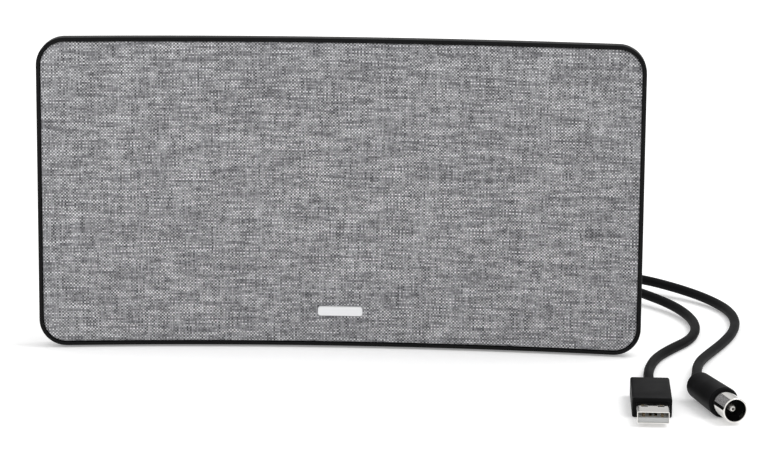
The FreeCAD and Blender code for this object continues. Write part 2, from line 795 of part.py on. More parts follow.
# Supply plug
usb_tip_y = usb_front_y - usb_shell_length
usb_seat_y = usb_front_y + usb_shell_seat
usb_shell_low = usb_axis_z - usb_shell_height / 2
usb_tongue_low = usb_shell_low + usb_shell_wall
usb_tongue_top = usb_tongue_low + usb_tongue_height


def make_usb_overmould():
    grip = rounded_prism(usb_overmould_width, usb_overmould_height, usb_long_edge, usb_x, usb_axis_z,
                         usb_front_y, usb_back_y)
    ends = [edge for face in grip.Faces if isinstance(face.Surface, Part.Plane)
            and abs(face.normalAt(0, 0).y) > math.sqrt(0.5) for edge in face.Edges]
    grip = grip.makeFillet(usb_end_edge, ends)
    pocket = rounded_prism(usb_shell_width + 2 * plug_fit, usb_shell_height + 2 * plug_fit, usb_shell_corner,
                           usb_x, usb_axis_z, usb_tip_y, usb_seat_y)
    cord_bore = rod(cord_radius + cord_fit, Vector(usb_x, usb_back_y - plug_bore_depth, usb_axis_z),
                    Vector(usb_x, usb_back_y, usb_axis_z))
    return grip.cut(pocket).cut(cord_bore)


def make_usb_shell():
    """Folded steel shell with the two latch windows of a standard plug, above and below."""
    shell = rounded_prism(usb_shell_width, usb_shell_height, usb_shell_corner, usb_x, usb_axis_z,
                          usb_tip_y, usb_seat_y)
    inside = rounded_prism(usb_shell_width - 2 * usb_shell_wall, usb_shell_height - 2 * usb_shell_wall,
                           usb_shell_corner - usb_shell_wall, usb_x, usb_axis_z, usb_tip_y, usb_seat_y)
    shell = shell.cut(inside)
    for side in (-1, 1):
        x = usb_x + side * usb_latch_spacing / 2
        y = usb_tip_y + usb_latch_setback
        shell = shell.cut(block(usb_latch_width, usb_latch_length, usb_shell_height, x, y, usb_shell_low))
    return shell


def make_usb_tongue():
    width = usb_shell_width - 2 * usb_shell_wall - 2 * plug_fit
    length = usb_seat_y - usb_tip_y - usb_tongue_setback
    return rounded_prism(width, usb_tongue_height, usb_shell_corner - usb_shell_wall, usb_x,
                         usb_tongue_low + usb_tongue_height / 2, usb_seat_y - length, usb_seat_y)


def make_usb_contacts():
    """Four strips on the tongue: the outer two, for power, reach further forward than the inner two."""
    strips = []
    for offset, setback in ((usb_power_x, usb_power_setback), (usb_data_x, usb_data_setback)):
        length = usb_seat_y - usb_tip_y - usb_tongue_setback - setback
        y = usb_seat_y - length / 2
        strips += [block(usb_contact_width, length, usb_contact_height, usb_x + side * offset, y, usb_tongue_top)
                   for side in (-1, 1)]
    return Part.makeCompound(strips)


# All the pieces
panel_blank = make_panel_blank()
coax_coil = Coil(-gland_x, coax_coil_y, coax_coil_radius, coax_coil_turns, coax_leave_angle)
usb_coil = Coil(gland_x, usb_coil_y, usb_coil_radius, usb_coil_turns, usb_leave_angle)
coax_points = ([coax_coil.leave_end, coax_coil.leave_end + coax_coil.heading * coax_run_start] + coax_route
               + [iec_back - iec_axis * iec_approach, iec_back + iec_axis * plug_bore_depth])
usb_points = ([usb_coil.leave_end, usb_coil.leave_end + usb_coil.heading * usb_run_start] + usb_route
              + [Vector(usb_x, usb_back_y - plug_bore_depth, usb_axis_z)])
usb_wire_offset = usb_wire_spacing / 2

pieces = {
    "rear_shell": make_rear_shell(panel_blank),
    "front_carrier": make_front_carrier(),
    "fabric_cover": make_fabric_cover(),
    "badge": make_badge(),
    "antenna_film": make_antenna_film(),
    "radiators": make_radiators(),
    "stand_housing": make_stand_housing(panel_blank),
    "housing_screws": make_housing_screws(),
    "front_feet": make_front_feet(panel_blank),
    "rear_feet": make_rear_feet(),
    "amplifier_board": make_amplifier_board(),
    "board_screws": make_board_screws(),
    "shield_can": make_shield_can(),
    "balun_core": make_balun_core(),
    "board_components": make_board_components(),
    "feed_leads": make_feed_leads(),
    "coax_gland": make_gland(-gland_x),
    "usb_gland": make_gland(gland_x),
    "coax_pigtail": make_pigtail(coax_pigtail_radius, -gland_x),
    "usb_wires": Part.makeCompound([make_pigtail(usb_wire_radius, gland_x - usb_wire_offset),
                                    make_pigtail(usb_wire_radius, gland_x + usb_wire_offset)]),
    "coax_lead": cord_tube("coax_lead", lead_points(-gland_x, coax_coil)),
    "coax_coil": coax_coil.solid(),
    "coax_tie": coax_coil.tie(),
    "coax_run": cord_tube("coax_run", coax_points),
    "usb_lead": cord_tube("usb_lead", lead_points(gland_x, usb_coil)),
    "usb_coil": usb_coil.solid(),
    "usb_tie": usb_coil.tie(),
    "usb_run": cord_tube("usb_run", usb_points),
    "iec_overmould": make_iec_overmould(),
    "iec_sleeve": make_iec_sleeve(),
    "iec_insulator": make_iec_insulator(),
    "iec_pin": make_iec_pin(),
    "usb_overmould": make_usb_overmould(),
    "usb_shell": make_usb_shell(),
    "usb_tongue": make_usb_tongue(),
    "usb_contacts": make_usb_contacts(),
}

os.makedirs("parts", exist_ok=True)
for node, shape in pieces.items():
    shape.exportStep(os.path.join("parts", node + ".step"))
    print(node, "solids", len(shape.Solids), "valid", shape.isValid(), "volume", round(shape.Volume, 1))
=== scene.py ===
# %% [markdown]
# This script dresses an indoor TV antenna: a gently hollow panel with a cloth front, a foot behind
# it, and two cords with their plugs. The solids come from CAD as a fixed frame, in metres, with +Z
# up and the front at -Y, and everything made here sits in that same frame. A solid whose shape is
# already right keeps it and only gets a finish. A piece that has to be softer or finer than its
# solid, such as the cloth and the cords, is made new here and stands for the solid.

# %% Load the frame
import math

import bmesh
import bpy
import numpy as np
from mathutils import Matrix, Vector


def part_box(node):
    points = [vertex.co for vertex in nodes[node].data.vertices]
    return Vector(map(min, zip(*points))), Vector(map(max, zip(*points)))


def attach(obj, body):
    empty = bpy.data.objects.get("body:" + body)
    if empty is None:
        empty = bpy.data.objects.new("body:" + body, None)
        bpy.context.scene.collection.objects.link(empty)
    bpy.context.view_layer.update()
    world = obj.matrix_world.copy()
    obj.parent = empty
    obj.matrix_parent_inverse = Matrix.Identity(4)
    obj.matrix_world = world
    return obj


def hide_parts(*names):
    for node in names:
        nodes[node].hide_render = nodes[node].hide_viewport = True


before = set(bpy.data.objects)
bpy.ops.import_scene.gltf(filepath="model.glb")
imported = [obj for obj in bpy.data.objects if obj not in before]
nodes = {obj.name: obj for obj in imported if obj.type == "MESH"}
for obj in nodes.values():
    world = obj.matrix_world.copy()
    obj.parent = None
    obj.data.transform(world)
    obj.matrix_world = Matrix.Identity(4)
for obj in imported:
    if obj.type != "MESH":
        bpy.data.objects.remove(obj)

scene = bpy.context.scene
mm = 0.001
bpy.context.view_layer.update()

# %% [markdown]
# The camera comes next, because every later choice is judged through it. The picture was taken with
# a long lens from a little to the right of the panel's middle, looking down by about 13 degrees.
# Blender's camera looks along its own -Z, so its matrix is made of three directions: right, up, and
# back towards the photographer. A small roll turns right and up about the line of sight.

# %% Camera
photo_width = 779
focal_pixels = 3530.0
sensor_width = 36.0
camera_place = Vector((0.070214, -1.377106, 0.364457))
look_down = math.radians(12.978)
look_left = math.radians(2.124)
roll = math.radians(0.473)

back = Vector((math.sin(look_left) * math.cos(look_down),
               -math.cos(look_left) * math.cos(look_down), math.sin(look_down)))
level_right = Vector((0, 0, 1)).cross(back).normalized()
level_up = back.cross(level_right)
right = math.cos(roll) * level_right + math.sin(roll) * level_up
up = back.cross(right)
facing = Matrix((right, up, back)).transposed()

camera = bpy.data.objects.new("camera", bpy.data.cameras.new("camera"))
scene.collection.objects.link(camera)
camera.matrix_world = Matrix.Translation(camera_place) @ facing.to_4x4()
camera.data.sensor_width = sensor_width
camera.data.lens = focal_pixels / photo_width * sensor_width
camera.data.clip_end = 40.0
scene.camera = camera
print("lens", round(camera.data.lens, 1), "mm")

# %% [markdown]
# Colours are written as the sRGB hex values that a paint program shows, but a shader works in linear
# light, so one function turns them. A second small function adds a node with its settings and links,
# which keeps each material below short enough to read as a recipe.

# %% Colour and node helpers
def linear(hex_colour):
    """Linear RGBA of an sRGB hex value: c / 12.92 where dark, else ((c + 0.055) / 1.055) ^ 2.4."""
    shares = np.array([int(hex_colour[place:place + 2], 16) for place in (1, 3, 5)]) / 255
    curve = np.where(shares <= 0.04045, shares / 12.92, ((shares + 0.055) / 1.055) ** 2.4)
    return (*curve.tolist(), 1.0)


def add(tree, kind, inputs=None, **settings):
    """Adds a node. Settings are its own properties, and inputs maps a socket to a value or an output."""
    node = tree.nodes.new("ShaderNode" + kind)
    for name, value in settings.items():
        setattr(node, name, value)
    for socket, value in (inputs or {}).items():
        if isinstance(value, bpy.types.NodeSocket):
            tree.links.new(value, node.inputs[socket])
        else:
            node.inputs[socket].default_value = value
    return node


# In a Mix node that blends colours, these are the sockets in use
mix_share, mix_first, mix_second, mix_out = 0, 6, 7, 2


def start_material(name, **sockets):
    """A new material with its Principled shader, whose plain sockets are set by name."""
    material = bpy.data.materials.new(name)
    material.use_nodes = True
    tree = material.node_tree
    shader = tree.nodes["Principled BSDF"]
    for socket, value in sockets.items():
        shader.inputs[socket.replace("_", " ")].default_value = value
    return material, tree, shader


print("grey 128 is", round(linear("#808080")[0], 3), "in linear light")

# %% [markdown]
# The product stands on a white sweep. A wide disc does for the floor: with this lens the picture
# never reaches its edge. Its colour is nearly white, and a faint glow that only the eye, mirrors and
# glass can see lifts it to paper white without putting more light on the antenna, so the soft
# shadows stay where they fall.

# %% Floor
floor_radius = 9.0
floor_sides = 128
floor_paint = "#f4f4f4"
floor_glow = 0.26

turn = np.linspace(0, 2 * np.pi, floor_sides, endpoint=False)
rim = floor_radius * np.stack([np.cos(turn), np.sin(turn), np.zeros(floor_sides)], axis=1)
floor_mesh = bpy.data.meshes.new("floor")
floor_mesh.from_pydata(rim.tolist(), [], [list(range(floor_sides))])
floor = bpy.data.objects.new("floor", floor_mesh)
scene.collection.objects.link(floor)

sweep, tree, shader = start_material("painted_sweep")
tree.nodes.remove(shader)
path = add(tree, "LightPath")
seen = add(tree, "Math", {0: path.outputs["Is Camera Ray"], 1: path.outputs["Is Glossy Ray"]},
           operation="MAXIMUM").outputs[0]
seen = add(tree, "Math", {0: seen, 1: path.outputs["Is Transmission Ray"]},
           operation="MAXIMUM").outputs[0]
glow = add(tree, "Math", {0: seen, 1: floor_glow}, operation="MULTIPLY").outputs[0]
matt = add(tree, "BsdfDiffuse", {"Color": linear(floor_paint)}).outputs[0]
light = add(tree, "Emission", {"Strength": glow}).outputs[0]
both = add(tree, "AddShader", {0: matt, 1: light}).outputs[0]
tree.links.new(both, tree.nodes["Material Output"].inputs["Surface"])
floor_mesh.materials.append(sweep)
print("floor disc of", floor_radius * 2, "m")

# %% [markdown]
# Studio light has two parts. The room is a dome that is bright overhead, dim at the horizon, and
# dimmer in front of the antenna than behind it, so that black plastic and plated metal find
# something dark to reflect. The key light is a sun lamp high up on the right. It is as wide as a
# large softbox, so its shadows are soft, and they lean to the left. A near area lamp would fade
# across the floor, while a sun lamp lights the whole sweep evenly.

# %% Light
dome_front = 0.25
dome_back = 0.55
dome_top = 0.88
# Sines of the two elevations between which the dome brightens
dome_rise = (0.05, 0.55)
key_strength = 1.0
key_height = math.radians(62)
# Turned from the front, where the camera is, towards the right
key_turn = math.radians(90)
key_spread = math.radians(32)

world = bpy.data.worlds.new("studio")
scene.world = world
world.use_nodes = True
tree = world.node_tree
direction = add(tree, "TexCoord").outputs["Generated"]
way = add(tree, "SeparateXYZ", {0: direction})
horizon = add(tree, "MapRange", {"Value": way.outputs["Y"], "From Min": -1.0, "From Max": 1.0,
                                 "To Min": dome_front, "To Max": dome_back}).outputs[0]
level = add(tree, "MapRange", {"Value": way.outputs["Z"],
                               "From Min": dome_rise[0], "From Max": dome_rise[1],
                               "To Min": horizon, "To Max": dome_top},
            interpolation_type="SMOOTHSTEP").outputs[0]
tree.links.new(level, tree.nodes["Background"].inputs["Strength"])
tree.nodes["Background"].inputs["Color"].default_value = (1, 1, 1, 1)

key = bpy.data.objects.new("key_light", bpy.data.lights.new("key_light", "SUN"))
scene.collection.objects.link(key)
key.data.energy = key_strength
key.data.angle = key_spread
key_from = Vector((math.sin(key_turn) * math.cos(key_height),
                   -math.cos(key_turn) * math.cos(key_height), math.sin(key_height)))
key.rotation_euler = (-key_from).to_track_quat("-Z", "Y").to_euler()
scene.view_settings.view_transform = "Standard"
print("key light", round(math.degrees(key_height)), "degrees up")

# %% [markdown]
# Most pieces here are moulded plastic, rubber or plated metal. What gives such a surface away is not
# its colour but its fine grain: a slight mottling, a roughness that is never quite even, and a
# shallow relief left by the tool. One recipe makes all of these, from a noise whose size is a real
# grain size, and each finish below says what the real surface is and chooses its own numbers.

# %% Recipe for a grained surface
grain_octaves = 3.0
cloud_size = 40
# Most of a noise lies between these two values
cloud_range = (0.35, 0.65)


def grained(name, colour, mottle, grain, relief, rough, **sockets):
    """Noise of one grain size, in metres: it mixes colour with mottle and lifts the surface by up to
    relief, while a noise cloud_size times coarser moves the roughness between its two values."""
    material, tree, shader = start_material(name, **sockets)
    place = add(tree, "TexCoord").outputs["Object"]
    noise = add(tree, "TexNoise", {"Vector": place, "Scale": 1 / grain,
                                   "Detail": grain_octaves}).outputs["Fac"]
    cloud = add(tree, "TexNoise", {"Vector": place, "Scale": 1 / (cloud_size * grain)}).outputs["Fac"]
    blend = add(tree, "Mix", {mix_share: noise, mix_first: linear(colour), mix_second: linear(mottle)},
                data_type="RGBA").outputs[mix_out]
    tree.links.new(blend, shader.inputs["Base Color"])
    uneven = add(tree, "MapRange", {"Value": cloud,
                                    "From Min": cloud_range[0], "From Max": cloud_range[1],
                                    "To Min": rough[0], "To Max": rough[1]}).outputs[0]
    tree.links.new(uneven, shader.inputs["Roughness"])
    bump = add(tree, "Bump", {"Height": noise, "Distance": relief}).outputs[0]
    tree.links.new(bump, shader.inputs["Normal"])
    return material


print("roughness clouds are", cloud_size, "grains wide")

# %% [markdown]
# The shell, its rim and the foot are ABS, injected into a tool with a spark-eroded texture. That
# texture is what makes black plastic read as satin and not as glass: it breaks the highlight into a
# soft band. The grain is drawn at 0.3 mm, a little coarser than the real one, so that it shows.

# %% Finishes of the mouldings
# Deep black with little gloss, so that the rim reads as a dark line round the cloth
abs_black = grained("moulded_abs_black", "#080809", "#0e0e0f", grain=0.3 * mm, relief=0.010 * mm,
                    rough=(0.42, 0.52), IOR=1.54, Specular_IOR_Level=0.12)
# The carrier under the cloth is the same plastic in a dark grey, and duller
abs_plate = grained("moulded_abs_plate", "#2a2a2c", "#343436", grain=0.3 * mm, relief=0.010 * mm,
                    rough=(0.50, 0.60), IOR=1.54)
# Rubber pads are dull all over, because their grain is coarse and scatters everything
foot_rubber = grained("silicone_rubber", "#0e0e0f", "#161616", grain=0.4 * mm, relief=0.020 * mm,
                      rough=(0.70, 0.85), IOR=1.41, Specular_IOR_Level=0.2)
print("mouldings", abs_black.name, abs_plate.name, foot_rubber.name)

# %% [markdown]
# The cords, their strain reliefs and the plugs' grips are soft PVC. A cord is extruded, so its skin
# is smooth with a faint unevenness, and its highlight is a broad grey line. The grips are moulded in
# the same compound, with a finer grain.

# %% Finishes of the soft plastics
soft_black = {"IOR": 1.53, "Specular_IOR_Level": 0.08}
# The extruded skin of the cords shows one long, soft highlight
cord_pvc = grained("extruded_pvc", "#0a0a0b", "#121213", grain=0.5 * mm, relief=0.012 * mm,
                   rough=(0.58, 0.68), **soft_black)
# The strain reliefs are moulded round the cords, so their sheen is less even
gland_pvc = grained("moulded_pvc", "#0a0a0b", "#121213", grain=0.4 * mm, relief=0.012 * mm,
                    rough=(0.58, 0.70), **soft_black)
# The grips are a little smoother than the cords, so their top faces look a shade greyer
plug_pvc = grained("moulded_pvc_grip", "#0a0a0b", "#121213", grain=0.35 * mm, relief=0.010 * mm,
                   rough=(0.52, 0.62), **soft_black)
# The straps of the ties are a slightly paler compound
tie_pvc = grained("pvc_tie", "#111113", "#1a1a1c", grain=0.4 * mm, relief=0.015 * mm,
                  rough=(0.55, 0.70), **soft_black)
# The tongue that carries the contacts is pale, stiff PBT with an even satin face
tongue_plastic = grained("pbt_insulator", "#c4c5c4", "#d2d3d2", grain=0.3 * mm, relief=0.006 * mm,
                         rough=(0.42, 0.52), IOR=1.55)
print("soft plastics", cord_pvc.name, gland_pvc.name, plug_pvc.name, tie_pvc.name, tongue_plastic.name)

# %% [markdown]
# Bright nickel over brass or steel is nearly a mirror, so its look is the room's: only a low
# roughness and a faint waviness from the drawing or turning of the blank belong to the metal itself.
# The aerial plug's pin is turned before it is plated, and the tool's fine marks spread the light to a
# satin grey. The other metals are inside or on the back: zinc on the screws, tin on the shield, gold
# on the contacts, and copper on the foil and wires.

# %% Finishes of the metals
# Drawn blanks under bright nickel: clear reflections that waver a little
nickel_plate = grained("bright_nickel", "#dcdad6", "#e4e2de", grain=0.6 * mm, relief=0.0008 * mm,
                       rough=(0.04, 0.09), Metallic=1.0)
turned_nickel = grained("turned_nickel", "#e6e4e0", "#efedea", grain=0.3 * mm, relief=0.003 * mm,
                        rough=(0.42, 0.52), Metallic=1.0)
# Blackened zinc on the screws is dark and half bright
zinc_steel = grained("black_zinc", "#4a4b4e", "#5a5b5e", grain=0.3 * mm, relief=0.006 * mm,
                     rough=(0.34, 0.46), Metallic=1.0)
# Tinned sheet shows soft clouds in its reflection
tinned_steel = grained("tinned_steel", "#b9bbbd", "#c9cbcc", grain=0.8 * mm, relief=0.004 * mm,
                       rough=(0.24, 0.40), Metallic=1.0)
# The gold on the contacts is only a flash, so it looks pale
gilded_contact = grained("gold_flash", "#a08a62", "#b09a70", grain=0.4 * mm, relief=0.002 * mm,
                         rough=(0.18, 0.30), Metallic=1.0)
# Rolled foil keeps a warm, uneven shine
copper_foil = grained("rolled_copper", "#c77f58", "#d89068", grain=0.9 * mm, relief=0.003 * mm,
                      rough=(0.25, 0.42), Metallic=1.0)
# A thin coat of tin takes some of the red out of the wires
wire_copper = grained("tinned_wire", "#b98a63", "#caa07c", grain=0.4 * mm, relief=0.004 * mm,
                      rough=(0.28, 0.40), Metallic=1.0)
print("metals", nickel_plate.name, turned_nickel.name, zinc_steel.name, tinned_steel.name,
      gilded_contact.name, copper_foil.name, wire_copper.name)

# %% [markdown]
# What is left is hidden in the panel and the foot: the film under the copper, the green glass
# laminate of the circuit board, the ferrite core and the ceramic chips. Nobody sees them in the
# picture, but a part that is opened or cut in two should still look right.

# %% Finishes inside
# Polyester film is smooth and milky
polyester_film = grained("polyester_film", "#cfd3d2", "#dde1e0", grain=0.8 * mm, relief=0.002 * mm,
                         rough=(0.20, 0.32), IOR=1.64)
# Green lacquer over woven glass has a slight orange peel
board_laminate = grained("glass_laminate", "#1d5138", "#245e43", grain=0.5 * mm, relief=0.004 * mm,
                         rough=(0.30, 0.42), IOR=1.55)
# Fired ferrite is dull and porous, and the chips' ceramic is smoother
ferrite = grained("fired_ferrite", "#2d2c2c", "#3b3938", grain=0.3 * mm, relief=0.010 * mm,
                  rough=(0.60, 0.75))
chip_ceramic = grained("chip_ceramic", "#8c7a62", "#9c8a70", grain=0.3 * mm, relief=0.004 * mm,
                       rough=(0.45, 0.60))
print("inside", polyester_film.name, board_laminate.name, ferrite.name, chip_ceramic.name)

# %% [markdown]
# Every solid that keeps its own shape now gets its finish. The shapes carry smooth normals from CAD,
# so nothing else is done to them.

# %% Dress the solids
finishes = {
    abs_black: ["rear_shell", "stand_housing"],
    abs_plate: ["front_carrier"],
    foot_rubber: ["front_feet", "rear_feet"],
    gland_pvc: ["coax_gland", "usb_gland"],
    plug_pvc: ["iec_overmould", "usb_overmould", "iec_insulator"],
    tongue_plastic: ["usb_tongue"],
    nickel_plate: ["iec_sleeve", "usb_shell"],
    turned_nickel: ["iec_pin"],
    gilded_contact: ["usb_contacts"],
    tinned_steel: ["shield_can"],
    zinc_steel: ["board_screws"],
    copper_foil: ["radiators"],
    wire_copper: ["feed_leads", "usb_wires", "coax_pigtail"],
    polyester_film: ["antenna_film"],
    board_laminate: ["amplifier_board"],
    ferrite: ["balun_core"],
    chip_ceramic: ["board_components"],
}
for finish, dressed in finishes.items():
    for node in dressed:
        nodes[node].data.materials.clear()
        nodes[node].data.materials.append(finish)
print("dressed", sum(len(dressed) for dressed in finishes.values()), "solids")

# %% [markdown]
# Most outlines of the new pieces are rounded rectangles. Such an outline could be drawn once for each
# size, but it is easier to move in and out when each point is kept as a core point plus a direction,
# because the outline at any inset is then core + direction * (radius - inset).

# %% Outline helper
def rounded_outline(width, height, radius, corner_steps, long_steps, short_steps):
    """Core points and outward directions of a rounded rectangle about the origin, anticlockwise from
    its right side. Corner k turns through angles 90k to 90k + 90 about a fixed core point, and on
    each side the core point moves along a straight line."""
    half = np.array([width / 2 - radius, height / 2 - radius])
    corners = half * np.array([[1, 1], [-1, 1], [-1, -1], [1, -1]])
    core, angle = [], []
    for k, steps in enumerate((long_steps, short_steps, long_steps, short_steps)):
        share = np.linspace(0, 1, steps + 1)[1:-1, None]
        side = corners[k] + (corners[(k + 1) % 4] - corners[k]) * share
        core += [np.repeat(corners[k:k + 1], corner_steps, axis=0), side]
        angle += [np.linspace(k, k + 1, corner_steps), np.full(steps - 1, k + 1.0)]
    angle = np.concatenate(angle) * np.pi / 2
    return np.concatenate(core), np.stack([np.cos(angle), np.sin(angle)], axis=1)


sample_core, sample_out = rounded_outline(2, 1, 0.1, corner_steps=4, long_steps=3, short_steps=2)
print("a sample outline has", len(sample_core), "points and", len(sample_out), "directions")

# %% [markdown]
# The new pieces are surfaces on a grid: a profile is carried round an outline, and every point comes
# out of one formula on whole arrays. Only the faces need numbers, and those follow from the grid too.
# Where the grid meets itself, at a seam or at a pole, doubled points are merged, so that the surface
# is closed and its outside is known.

# %% Surface helpers
same_point = 0.0005 * mm
sharp_edge = math.radians(40)


def grid_faces(rows, columns, close_rows=False, first=0):
    """Corner numbers of the quads of a grid whose columns close on themselves."""
    index = first + np.arange(rows * columns).reshape(rows, columns)
    index = np.concatenate([index, index[:, :1]], axis=1)
    if close_rows:
        index = np.concatenate([index, index[:1]])
    quads = [index[:-1, :-1], index[:-1, 1:], index[1:, 1:], index[1:, :-1]]
    return np.stack(quads, axis=-1).reshape(-1, 4)


def close_up(mesh):
    """Merges the points that meet at seams and poles, then turns every face outwards."""
    form = bmesh.new()
    form.from_mesh(mesh)
    bmesh.ops.remove_doubles(form, verts=form.verts, dist=same_point)
    bmesh.ops.recalc_face_normals(form, faces=form.faces)
    form.to_mesh(mesh)
    form.free()
    mesh.set_sharp_from_angle(angle=sharp_edge)


def make_piece(name, points, faces, finish, closed=True):
    """Smooth-shaded object at the origin, riding on the part's only body."""
    mesh = bpy.data.meshes.new(name)
    mesh.from_pydata(points.reshape(-1, 3).tolist(), [], faces)
    mesh.polygons.foreach_set("use_smooth", np.ones(len(mesh.polygons), bool))
    if closed:
        close_up(mesh)
    mesh.materials.append(finish)
    piece = bpy.data.objects.new(name, mesh)
    scene.collection.objects.link(piece)
    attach(piece, "root")
    return piece


print("edges sharper than", round(math.degrees(sharp_edge)), "degrees stay crisp")

# %% [markdown]
# The panel is hollow towards the viewer: its layers are parts of circles about one upright axis in
# front of it. The frame gives the panel's width and where its front lies, and the sag of its middle
# gives the radius. Any layer of the panel is then known by its depth behind the front.

# %% The panel's bend
panel_sag = 8.2 * mm
shell_low, shell_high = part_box("rear_shell")
panel_width = shell_high.x - shell_low.x
panel_height = shell_high.z - shell_low.z
panel_middle = (shell_high.z + shell_low.z) / 2
# The frame is centred between the front of the panel's ends and the back of the foot
panel_front = -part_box("stand_housing")[1].y
bend_radius = (panel_width ** 2 / 4 + panel_sag ** 2) / (2 * panel_sag)
bend_centre = panel_front + panel_sag - bend_radius


def bent(x, depth):
    """Y of the layer at a depth behind the panel's front: centre + sqrt((radius + depth)^2 - x^2)."""
    return bend_centre + np.sqrt((bend_radius + depth) ** 2 - x ** 2)


print("bend radius", round(bend_radius / mm), "mm")

# %% [markdown]
# The front is a cloth, stretched over the carrier and turned in behind it. It could be a picture of
# cloth on a flat face, but then the wrapped edge beside the rim would show no thread. So the cloth is
# one sheet that starts at the hem behind the plate, goes round the edge and comes over the front to
# the middle. The same points are also laid out flat, in metres of cloth, for the weave to follow.

# %% Cloth shape
cloth_inset = shell_high.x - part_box("fabric_cover")[1].x
corner_radius = 11.0 * mm
cloth_recess = 0.3 * mm
front_round = 0.7 * mm
hem_round = 0.6 * mm
hem_depth = 3.1 * mm
hem_width = 6.0 * mm
hem_steps = 4
round_steps = 9
front_steps = 40

quarter = np.linspace(0, np.pi / 2, round_steps)
hem_inset = np.linspace(hem_width + hem_round, hem_round, hem_steps, endpoint=False)
inset = np.concatenate([hem_inset, hem_round * (1 - np.sin(quarter)),
                        front_round * (1 - np.cos(quarter))])
depth = np.concatenate([np.full(hem_steps, hem_depth), hem_depth - hem_round * (1 - np.cos(quarter)),
                        cloth_recess + front_round * (1 - np.sin(quarter))])
run = np.concatenate([[0], np.cumsum(np.hypot(np.diff(inset), np.diff(depth)))])
past_edge = run[-1] - run

core, out = rounded_outline(panel_width, panel_height, corner_radius,
                            corner_steps=13, long_steps=60, short_steps=30)
reach = (corner_radius - cloth_inset - inset)[:, None, None]
wrapped = core + out * reach
shrink = np.linspace(1, 0, front_steps + 1)[1:-1, None, None]
flat_xz = np.concatenate([wrapped, wrapped[-1] * shrink])
flat_depth = np.concatenate([depth, np.full(front_steps - 1, cloth_recess)])[:, None]
cloth_y = bent(flat_xz[..., 0], flat_depth)
cloth_points = np.stack([flat_xz[..., 0], cloth_y, panel_middle + flat_xz[..., 1]], axis=-1)
rows, columns = cloth_points.shape[:2]
cloth_faces = grid_faces(rows, columns).tolist()
cloth_faces.append(list(range((rows - 1) * columns, rows * columns)))

laid = np.concatenate([wrapped[-1] + out * past_edge[:, None, None], wrapped[-1] * shrink])
laid[..., 0] = bend_radius * np.arcsin(laid[..., 0] / bend_radius)
laid = laid - laid.min(axis=(0, 1))

# %% [markdown]
# The cloth is plain weave: each thread goes over one neighbour and under the next. A photograph of
# it would blur close by, while nodes can weave it at any size. A point's place in the flat cloth,
# divided by the thread spacing, counts the threads: the whole part says which threads cross there,
# and the fraction says where on them the point lies. Where the two thread numbers add up to an odd
# number the upright warp is on top, and elsewhere the lying weft. A loom never lays threads quite
# straight, so a slow noise lets them wander a little. The real spacing is about 0.61 mm, and it is
# drawn a tenth coarser, because finer threads blur in a small render.

# %% Threads of the weave
warp_pitch = 0.67 * mm
weft_pitch = 0.65 * mm
drift_length = 5 * mm
drift_reach = (0.5 * mm, 0.12 * mm, 0)
crossing_share = 0.4
# In a Mix node that blends numbers, these are the sockets in use
number_first, number_second = 2, 3


def plain_weave(tree, cloth):
    """Thread numbers floor(place / pitch), which thread is on top (sum of the numbers modulo 2), and the
    height: the sine arch of the thread on top, mixed with the product of both arches."""
    drift = add(tree, "TexNoise", {"Vector": cloth, "Scale": 1 / drift_length, "Detail": 1.0},
                noise_dimensions="2D").outputs["Color"]
    loose = add(tree, "VectorMath", {0: drift, 1: drift_reach, 2: cloth},
                operation="MULTIPLY_ADD").outputs[0]
    threads = add(tree, "VectorMath", {0: loose, 1: (1 / warp_pitch, 1 / weft_pitch, 0)},
                  operation="MULTIPLY").outputs[0]
    whole = add(tree, "VectorMath", {0: threads}, operation="FLOOR").outputs[0]
    number = add(tree, "SeparateXYZ", {0: whole})
    both = add(tree, "Math", {0: number.outputs["X"], 1: number.outputs["Y"]}).outputs[0]
    warp_on_top = add(tree, "Math", {0: both, 1: 2.0}, operation="FLOORED_MODULO").outputs[0]

    part = add(tree, "VectorMath", {0: threads}, operation="FRACTION").outputs[0]
    angle = add(tree, "VectorMath", {0: part, 1: (math.pi, math.pi, 0)}, operation="MULTIPLY").outputs[0]
    sine = add(tree, "VectorMath", {0: angle}, operation="SINE").outputs[0]
    arch = add(tree, "SeparateXYZ", {0: sine})
    crossing = add(tree, "Math", {0: arch.outputs["X"], 1: arch.outputs["Y"]},
                   operation="MULTIPLY").outputs[0]
    top = add(tree, "Mix", {mix_share: warp_on_top, number_first: arch.outputs["Y"],
                            number_second: arch.outputs["X"]}).outputs[0]
    height = add(tree, "Mix", {mix_share: crossing_share, number_first: top,
                               number_second: crossing}).outputs[0]
    return number, warp_on_top, height


print("threads", round(panel_width / warp_pitch), "by", round(panel_height / weft_pitch))

# %% [markdown]
# The yarn is heathered: it is spun from fibres of several greys, so each thread changes its tone
# along its length. A noise that is stretched along the thread, and starts at an unrelated place on
# the next one, gives the long streaks, and its finer octaves give the flecks. A second noise combs
# fibres into the thread. Bundles of fibres are drawn, 0.1 mm wide, because one fibre is far too fine
# to show. Where a streak is thick it covers more and lifts the tone about it a little, and where it is
# thin the cloth dims. The weft is paler than the warp and has the longer streaks, which makes the
# cloth look lined across.

# %% Heathered yarn
# Across is the axis that counts the threads, and along the one that they run along
weft_yarn = {"across": "Y", "along": "X", "streak": 16 * mm, "dark": "#909094", "pale": "#fbfbfd",
             "thin": 0.88, "thick": 1.08}
warp_yarn = {"across": "X", "along": "Y", "streak": 12 * mm, "dark": "#454549", "pale": "#b2b2b6",
             "thin": 0.93, "thick": 1.04}
# The step in the noise from one thread to the next
apart = 17.31
streak_octaves = 4.0
streak_crispness = 0.8
# Values of the noise at which a thread is quite dark and quite pale
tone_range = (0.36, 0.64)
fibre_width = 0.10 * mm
fibre_length = 0.9 * mm
fibre_share = 0.35


